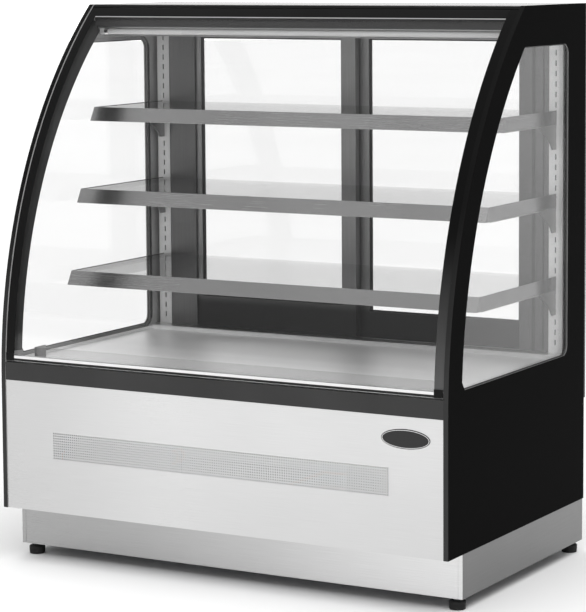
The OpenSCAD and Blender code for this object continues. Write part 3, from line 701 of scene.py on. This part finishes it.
WINDOW = window_outline()
for side, name in ((-1, "left"), (1, "right")):
    bm = bmesh.new()
    frame_bead(bm, WINDOW, [(0.02, 0.02), (2.6, 0.02), (2.2, 1.0), (1.3, 1.9), (0.02, 2.6)],
               lambda p, w, side=side: at(side * (594.0 + w), p[0], p[1]))
    piece(f"window_bead_{name}", bead_grey, "cabinet", bm)

DOORS = {  # body: (x0 of the frame, depth of its face, foot of its daylight)
    "left_door": (-487.0, 680.0, 577.0),
    "right_door": (-8.0, 705.0, 562.0),
}
DOOR_W, STILE, DOOR_T, DAYLIGHT_TOP = 495.0, 41.0, 20.0, 1250.0
for body, (x0, face, foot) in DOORS.items():
    pane_x0, pane_x1 = x0 + STILE, x0 + DOOR_W - STILE
    daylight = [(pane_x0, foot), (pane_x1, foot), (pane_x1, DAYLIGHT_TOP), (pane_x0, DAYLIGHT_TOP)]
    bm = bmesh.new()
    for start, way in ((face + 7.45, -1), (face + 12.55, 1)):
        frame_bead(bm, daylight, [(0.03, 0.0), (3.2, 0.0), (3.0, 1.6), (1.2, 4.2), (0.03, 4.6)],
                   lambda p, w, start=start, way=way: at(p[0], start + way * w, p[1]))
    piece(f"{body}_pane_gasket", seal_black, body, bm)
    bm = bmesh.new()
    grip = x0 + (STILE / 2 if body == "left_door" else DOOR_W - STILE / 2)
    lining = rounded([(grip - 9.9, 830.1), (grip + 9.9, 830.1), (grip + 9.9, 949.9), (grip - 9.9, 949.9)],
                     [3, 3, 3, 3], 4)
    rear = face + DOOR_T
    frame_bead(bm, lining, [(0.0, 0.0), (0.0, -7.9), (1.2, -7.9), (1.2, -0.6), (1.0, -0.1), (0.4, 0.0)],
               lambda p, w, rear=rear: at(p[0], rear + w, p[1]))
    base = inset(lining, 1.2)
    solid(bm, [[at(p.x, rear + w, p.y) for p in base] for w in (-7.95, -7.0)])
    piece(f"{body}_pull_cup", black_plastic, body, bm)


# ---- rear: screws, gland, controls ----

def cross_head(bm, origin, r, height, slot):
    """A pan head along +Y with a cross recess, built ring by ring on a square grid of sectors."""
    n = 48
    rings = []
    arm_w, arm_l = slot

    def reach(a):
        """How far the recess's edge is from the middle at angle a."""
        c, s = abs(math.cos(a)), abs(math.sin(a))
        long, short = max(c, s), min(c, s)
        if short * arm_l <= arm_w * long:
            return arm_l / long
        return arm_w / short

    def row(radius_of, height_of):
        return [origin + Vector((radius_of(a) * math.cos(a), height_of, radius_of(a) * math.sin(a))) / 1000
                for a in (2 * math.pi * k / n for k in range(n))]

    rings.append(row(lambda a: r, 0.0))
    rings.append(row(lambda a: r, height * 0.35))
    rings.append(row(lambda a: r * 0.93, height * 0.7))
    rings.append(row(lambda a: r * 0.78, height * 0.93))
    rings.append(row(reach, height))
    rings.append(row(lambda a: reach(a) * 0.85, height * 0.25))
    solid(bm, rings)


bm = bmesh.new()
for x, z in [(x, z) for x in (-570, 0, 570) for z in (160, 364)] + [(x, 470) for x in (-570, 0, 570)]:
    cross_head(bm, at(x, REAR_FACE, z), 4.5, 2.0, (0.55, 2.4))
    turned(bm, [(2.0, 0), (2.0, 7.2), (1.2, 8.0)], at(x, REAR_FACE - 0.01, z), (0, -1, 0), 16)
screws = piece("panel_screws", chrome, "cabinet", bm)
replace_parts(screws, "cabinet_screws")


def turned_ring(bm, profile, origin, axis, sides=48, ribs=0, rib_depth=0.0):
    """A turned form round a bore, from a loop of (radius, along) pairs. Ribs groove radii above 10 mm."""
    turn = Vector((0, 0, 1)).rotation_difference(Vector(axis)).to_matrix()
    made = []
    for r, h in profile:
        loop = []
        for i in range(sides):
            a = 2 * math.pi * i / sides
            rr = r - (rib_depth * (0.5 + 0.5 * math.cos(ribs * a)) if ribs and r > 10 else 0)
            spoke = Vector((rr * math.cos(a), rr * math.sin(a), h)) / 1000
            loop.append(bm.verts.new(origin + turn @ spoke))
        made.append(loop)
    for a, b in zip(made, made[1:] + made[:1]):
        for i in range(sides):
            j = (i + 1) % sides
            bm.faces.new((a[i], a[j], b[j], b[i]))


bm = bmesh.new()
GLAND = at(-520, 0, 250)
place = Vector((GLAND.x, FRONT_Y / 1000, GLAND.z))
turned_ring(bm, [(4.5, 726), (8, 726), (8, 740.4), (12.6, 740.5), (12.9, 741.3), (12.9, 745.7),
                 (12.6, 746.45), (8, 746.5), (8, 748), (12.7, 748), (13, 748.6), (13, 752.6), (12.2, 753.8),
                 (9.4, 754.4), (8.2, 756.2), (7.6, 757.4), (6.6, 758), (5.0, 758), (4.5, 757.4)], place,
                 (0, 1, 0), 96, 16, 0.7)
gland = piece("gland_nut", black_plastic, "cabinet", bm)
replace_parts(gland, "cable_gland")


# ---- controls: faceplate details, keys, rocker ----

def plate_outline(x0, z0, x1, z1, r, steps=5):
    return rounded([(x0, z0), (x1, z0), (x1, z1), (x0, z1)], [r] * 4, steps)


def pillow(bm, x0, z0, x1, z1, r, base, top, crown):
    """A key or lens: a rounded block from depth base to top whose face is crowned by a little more."""
    levels = ((0.0, base), (0.0, top - 0.5), (0.25, top - 0.12), (0.7, top), (2.0, top + crown * 0.6),
              (3.0, top + crown))
    outline = plate_outline(x0, z0, x1, z1, r)
    rings = []
    limit = min(x1 - x0, z1 - z0) / 2 - 0.3
    for by, depth in levels:
        rings.append([at(p.x, depth, p.y) for p in _shrunk(outline, min(by, limit), (x0, z0, x1, z1))])
    return solid(bm, rings)


def _shrunk(outline, by, box):
    """The outline scaled about its middle so that each side comes in by a distance."""
    x0, z0, x1, z1 = box
    mx, mz = (x0 + x1) / 2, (z0 + z1) / 2
    sx, sz = 1 - 2 * by / (x1 - x0), 1 - 2 * by / (z1 - z0)
    return [Vector((mx + (p.x - mx) * sx, mz + (p.y - mz) * sz)) for p in outline]


KEYS = {"controller_key_set": 408.0, "controller_key_up": 422.0, "controller_key_down": 436.0}
for name, x in KEYS.items():
    bm = bmesh.new()
    pillow(bm, x - 5, 399.3, x + 5, 406.1, 1.0, REAR_FACE, REAR_FACE + 5.1, 0.3)
    key = piece(f"{name}_cap", key_grey, name, bm)
    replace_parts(key, name)
    bm = bmesh.new()
    if name.endswith("set"):
        turned(bm, [(1.3, 0), (1.3, 0.10), (1.1, 0.14)], at(x, REAR_FACE + 5.32, 402.7), (0, 1, 0), 20)
    else:
        up = 1 if name.endswith("up") else -1
        tri = [(x - 1.7, 402.7 - up * 1.0), (x + 1.7, 402.7 - up * 1.0), (x, 402.7 + up * 1.5)]
        solid(bm, [[at(a, d, b) for a, b in tri] for d in (REAR_FACE + 5.3, REAR_FACE + 5.44)])
    piece(f"{name}_mark", white_plastic, name, bm)

bm = bmesh.new()
pillow(bm, 402.2, 410.2, 467.8, 429.8, 0.8, REAR_FACE + 2.5, REAR_FACE + 3.6, 0.1)
piece("display_lens", gloss_black, "cabinet", bm)
bm = bmesh.new()
frame_bead(bm, plate_outline(360.6, 402.6, 383.4, 425.4, 1.2),
           [(0.0, 4.02), (0.0, 4.8), (-1.0, 5.0), (-1.9, 4.6), (-2.0, 4.02)], lambda p,
           w: at(p[0], REAR_FACE + w, p[1]))
piece("switch_bezel", gloss_black, "cabinet", bm)
bm = bmesh.new()
profile = [(745, -10), (752.2, -10), (752.9, -9.6), (753, -8.8), (752.5, -5), (751.9, -2), (751.6, 0),
           (752.3, 3), (753.5, 6.4), (754.8, 9.2), (754.8, 9.8), (754.3, 10), (745, 10)]
solid(bm, [[at(361 + x, d, 414 + h) for d, h in profile] for x in (0.05, 21.95)])
rocker = piece("lamp_switch_rocker", switch_red, "lamp_switch", bm, 0.0003)
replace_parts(rocker, "lamp_switch")
bm = bmesh.new()
solid(bm, [[at(x, d, 414 + h) for d, h in ((753.62, 6.4), (754.35, 8.0), (754.5, 8.0), (753.77, 6.4))]
           for x in (371.2, 372.8)])
piece("lamp_switch_mark", white_plastic, "lamp_switch", bm)


# ---- fans ----

def fan(name, centre_x, hub_face, centre_z, r, hub_r, hub_l, blades, bore):
    """A moulded wheel on the +Y axis with cupped, twisted blades round a domed hub."""
    bm = bmesh.new()
    origin = at(centre_x, 0, centre_z)
    axis = Vector((origin.x, FRONT_Y / 1000, origin.z))
    f = hub_face
    turned_ring(bm, [(bore, f + 0.3), (hub_r * 0.5, f), (hub_r * 0.82, f + 1.0), (hub_r, f + 4),
                     (hub_r, f + hub_l - 0.6), (hub_r - 0.6, f + hub_l), (hub_r - 2, f + hub_l),
                     (hub_r - 2, f + 6), (bore + 2.5, f + 6), (bore + 2.5, f + hub_l), (bore, f + hub_l)],
                     axis, (0, 1, 0), 64)
    spans, chords = 9, 10
    mid = f + hub_l / 2
    for b in range(blades):
        lead = 2 * math.pi * b / blades
        grid = {}
        for i in range(spans + 1):
            t = i / spans
            rr = hub_r - 0.8 + (r - hub_r + 0.8) * t
            half_turn = math.radians(27) * (1.0 - 0.15 * t) * (1 - 0.25 * max(0.0, t - 0.85) / 0.15)
            rise = hub_l * 0.42 * (1.0 - 0.35 * t)
            for j in range(chords + 1):
                c = -1 + 2 * j / chords
                a = lead + half_turn * c + math.radians(16) * t * t
                cup = 2.2 * (1 - c * c) * (0.4 + 0.6 * t)
                for face, thick in ((0, -0.7), (1, 0.7)):
                    depth = mid + rise * c + cup + thick * (1 - 0.7 * c * c)
                    spoke = Vector((rr * math.cos(a), depth, rr * math.sin(a))) / 1000
                    grid[i, j, face] = bm.verts.new(axis + spoke)
        for i in range(spans):
            for j in range(chords):
                for face in (0, 1):
                    bm.faces.new((grid[i, j, face], grid[i + 1, j, face], grid[i + 1, j + 1, face],
                                  grid[i, j + 1, face]))
        rim = [(i, 0) for i in range(spans + 1)] + [(spans, j) for j in range(1, chords + 1)]
        rim += [(i, chords) for i in range(spans - 1, -1, -1)] + [(0, j) for j in range(chords - 1, 0, -1)]
        for p, q in zip(rim, rim[1:] + rim[:1]):
            bm.faces.new((grid[(*p, 0)], grid[(*q, 0)], grid[(*q, 1)], grid[(*p, 1)]))
    wheel = piece(f"{name}_wheel", black_plastic, name, bm)
    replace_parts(wheel, name)


fan("evaporator_fan_left", -190, 230, 422, 46, 15, 22, 5, 3.05)
fan("evaporator_fan_right", 190, 230, 422, 46, 15, 22, 5, 3.05)
fan("condenser_fan", -310, 124, 225, 72, 20, 28, 5, 4.05)


# ---- coils: fins, tubes and end plates ----

def arc_tube(bm, centre, r_bend, r_tube, side, tilt, steps=12, sides=12):
    """A return bend that leaves an end plate along side * X and comes back, its ends apart along tilt."""
    rings = []
    for k in range(steps + 1):
        a = math.pi * k / steps
        out, along = math.sin(a) * r_bend * side, math.cos(a) * r_bend
        middle = centre + Vector((out, 0, 0)) / 1000 + tilt * (along / 1000)
        normal = (Vector((math.sin(a) * side, 0, 0)) + tilt * math.cos(a)).normalized()
        across = Vector((1, 0, 0)).cross(tilt).normalized()
        rings.append([middle + (normal * math.cos(t) + across * math.sin(t)) * (r_tube / 1000)
                      for t in (2 * math.pi * i / sides for i in range(sides))])
    solid(bm, rings)


def finned_coil(name, a, b, pitch, columns, rows):
    """A stack of thin fins between end plates, crossed by tubes with return bends."""
    (x0, d0, z0), (x1, d1, z1) = a, b
    bm = bmesh.new()
    count = int((x1 - x0 - 6) / pitch)
    for i in range(count + 1):
        x = x0 + 3 + (x1 - x0 - 6) * i / count
        plain_block(bm, (x - 0.12, d0 + 0.5, z0 + 1.5), (x + 0.12, d1 - 0.5, z1 - 1.5))
    fins = piece(f"{name}_fins", fin_metal, "cabinet", bm)
    bm = bmesh.new()
    for x in (x0, x1 - 1.2):
        plain_block(bm, (x, d0, z0), (x + 1.2, d1, z1))
    piece(f"{name}_end_plates", zinc, "cabinet", bm, 0.0002)
    bm = bmesh.new()
    dz, dd = (z1 - z0) / rows, (d1 - d0) / columns
    for c in range(columns):
        for r in range(rows):
            turned(bm, [(3.6, 0), (3.6, x1 - x0 + 3)],
                   at(x0 - 1.5, d0 + dd * (c + 0.5), z0 + dz * (r + 0.5)), (1, 0, 0), 12)
    for c in range(columns):
        depth = d0 + dd * (c + 0.5)
        for r in range(0, rows - 1, 2):
            arc_tube(bm, at(x1 + 1.5, depth, z0 + dz * (r + 1)), dz / 2, 3.6, 1, Vector((0, 0, 1)))
        for r in range(1, rows - 1, 2):
            arc_tube(bm, at(x0 - 1.5, depth, z0 + dz * (r + 1)), dz / 2, 3.6, -1, Vector((0, 0, 1)))
    piece(f"{name}_tubes", copper, "cabinet", bm)
    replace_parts(fins, name)


finned_coil("evaporator_coil", (-380, 380, 366), (380, 500, 474), 5.0, 4, 4)
finned_coil("condenser_coil", (-460, 60, 133), (-160, 108, 312), 3.0, 2, 6)


# ---- compressor ----

bm = bmesh.new()
X, Y0, Z0 = 270.0, 300.0, 133.0
shell = [(60, 18), (68, 20), (73, 26), (74, 34), (74, 80), (75.4, 81), (75.4, 87), (74, 88), (74, 116),
         (72.8, 122), (68.5, 130), (60, 137.5), (48, 143.5), (34, 148), (18, 151.5), (6, 153)]
turned(bm, shell, at(X, Y0, Z0), sides=72)
body = piece("compressor_shell", compressor_black, "cabinet", bm)
bm = bmesh.new()
outline = rounded([(X - 100, Y0 - 65), (X + 100, Y0 - 65), (X + 100, Y0 + 65), (X - 100, Y0 + 65)],
                  [18] * 4, 6)
solid(bm, [[at(p.x, p.y, z) for p in outline] for z in (Z0 + 14, Z0 + 18)])
piece("compressor_base_plate", compressor_black, "cabinet", bm, 0.0008)
bm = bmesh.new()
for dx in (-85, 85):
    for dy in (-50, 50):
        turned(bm, [(11, 0), (12, 1), (12, 4), (10.5, 5.4), (10.5, 8.6), (12, 10), (12, 13), (11.4, 14)],
               at(X + dx, Y0 + dy, Z0), sides=32)
        turned(bm, [(6.5, 18), (6.5, 22.5), (5.8, 23.5)], at(X + dx, Y0 + dy, Z0), sides=6)
piece("compressor_mounts", rubber, "cabinet", bm)
bm = bmesh.new()
cover = rounded([(X + 72, Z0 + 40), (X + 98, Z0 + 40), (X + 98, Z0 + 95), (X + 72, Z0 + 95)], [2, 8, 8, 2], 5)
solid(bm, [[at(p.x, d, p.y) for p in cover] for d in (Y0 - 25, Y0 + 25)])
piece("compressor_terminal_cover", black_plastic, "cabinet", bm, 0.0012)
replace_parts(body, "compressor")


# ---- floor, light and camera ----

def stage_floor():
    """A pale matt disc of 40 m radius under the case."""
    mesh = bpy.data.meshes.new("studio_floor")
    bm = bmesh.new()
    bmesh.ops.create_circle(bm, cap_ends=True, segments=96, radius=40)
    bm.to_mesh(mesh)
    bm.free()
    floor = bpy.data.objects.new("studio_floor", mesh)
    bpy.context.scene.collection.objects.link(floor)
    p = Paint("studio_floor_pale")
    p.bsdf.inputs["Specular IOR Level"].default_value = 0.1
    p.to("Base Color", p.ramp(p.noise(0.6), grey(0.87), grey(0.90)))
    p.to("Roughness", p.ranged(p.noise(3), 0.75, 0.9))
    mesh.materials.append(p.material)


SKY = (  # direction, where its light starts and is full as a cosine, and the level before and after
    ((0.5, -0.87, 0.0), 0.3, 1.0, 0.26, 0.95),
    ((-0.5, 0.87, 0.15), 0.55, 0.95, 0.0, 0.75),
    ((0.0, 0.0, 1.0), 0.3, 1.0, 0.0, 0.25),
    ((0.0, 0.0, -1.0), -0.01, 0.01, 0.0, 0.8),
)


def studio_sky():
    """A soft grey sky with one broad bright side and a mild top light, fixed in the frame."""
    world = bpy.data.worlds.new("studio_sky")
    world.use_nodes = True
    bpy.context.scene.world = world
    tree = world.node_tree
    background = tree.nodes["Background"]
    background.inputs["Color"].default_value = (1, 1, 1, 1)
    coords = tree.nodes.new("ShaderNodeTexCoord")
    levels = []
    for direction, start, end, low, high in SKY:
        dot = tree.nodes.new("ShaderNodeVectorMath")
        dot.operation = "DOT_PRODUCT"
        dot.inputs[1].default_value = Vector(direction).normalized()
        spread = tree.nodes.new("ShaderNodeMapRange")
        spread.interpolation_type = "SMOOTHSTEP"
        for socket, value in zip(("From Min", "From Max", "To Min", "To Max"), (start, end, low, high)):
            spread.inputs[socket].default_value = value
        tree.links.new(coords.outputs["Generated"], dot.inputs[0])
        tree.links.new(dot.outputs["Value"], spread.inputs["Value"])
        levels.append(spread.outputs["Result"])
    total = levels[0]
    for level in levels[1:]:
        add = tree.nodes.new("ShaderNodeMath")
        tree.links.new(total, add.inputs[0])
        tree.links.new(level, add.inputs[1])
        total = add.outputs[0]
    tree.links.new(total, background.inputs["Strength"])


def soft_sun(name, direction, strength, angle):
    """A broad, even light from one direction that doesn't show as a spot in mirrors."""
    data = bpy.data.lights.new(name, "SUN")
    data.energy = strength
    data.angle = math.radians(angle)
    o = bpy.data.objects.new(name, data)
    bpy.context.scene.collection.objects.link(o)
    o.rotation_euler = Vector(direction).to_track_quat("-Z", "Y").to_euler()
    o.visible_glossy = False


SENSOR_W, LENS = 36, 148.9    # in millimetres
LENS_SHIFT = -0.1405          # of the sensor's width, downwards
CAMERA_AT = (3.0081, -5.2801, 1.4490)
YAW_PITCH_ROLL = (29.69, 5.88, -0.39)


def set_camera():
    """The camera that shows the case from its right front."""
    data = bpy.data.cameras.new("camera")
    data.sensor_width = SENSOR_W
    data.lens = LENS
    data.shift_y = LENS_SHIFT
    data.clip_end = 200
    camera = bpy.data.objects.new("camera", data)
    bpy.context.scene.collection.objects.link(camera)
    yaw, pitch, roll = (math.radians(v) for v in YAW_PITCH_ROLL)
    ahead = Vector((-math.sin(yaw) * math.cos(pitch), math.cos(yaw) * math.cos(pitch), -math.sin(pitch)))
    right = ahead.cross(Vector((0, 0, 1))).normalized()
    up = right.cross(ahead)
    across = right * math.cos(roll) + up * math.sin(roll)
    above = up * math.cos(roll) - right * math.sin(roll)
    turn = Matrix((across, above, -ahead)).transposed()
    camera.matrix_world = Matrix.Translation(CAMERA_AT) @ turn.to_4x4()
    bpy.context.scene.camera = camera


stage_floor()
studio_sky()
soft_sun("top_light", direction=(-0.15, 0.25, -1.0), strength=2.4, angle=70)
set_camera()
bpy.context.scene.view_settings.view_transform = "Standard"
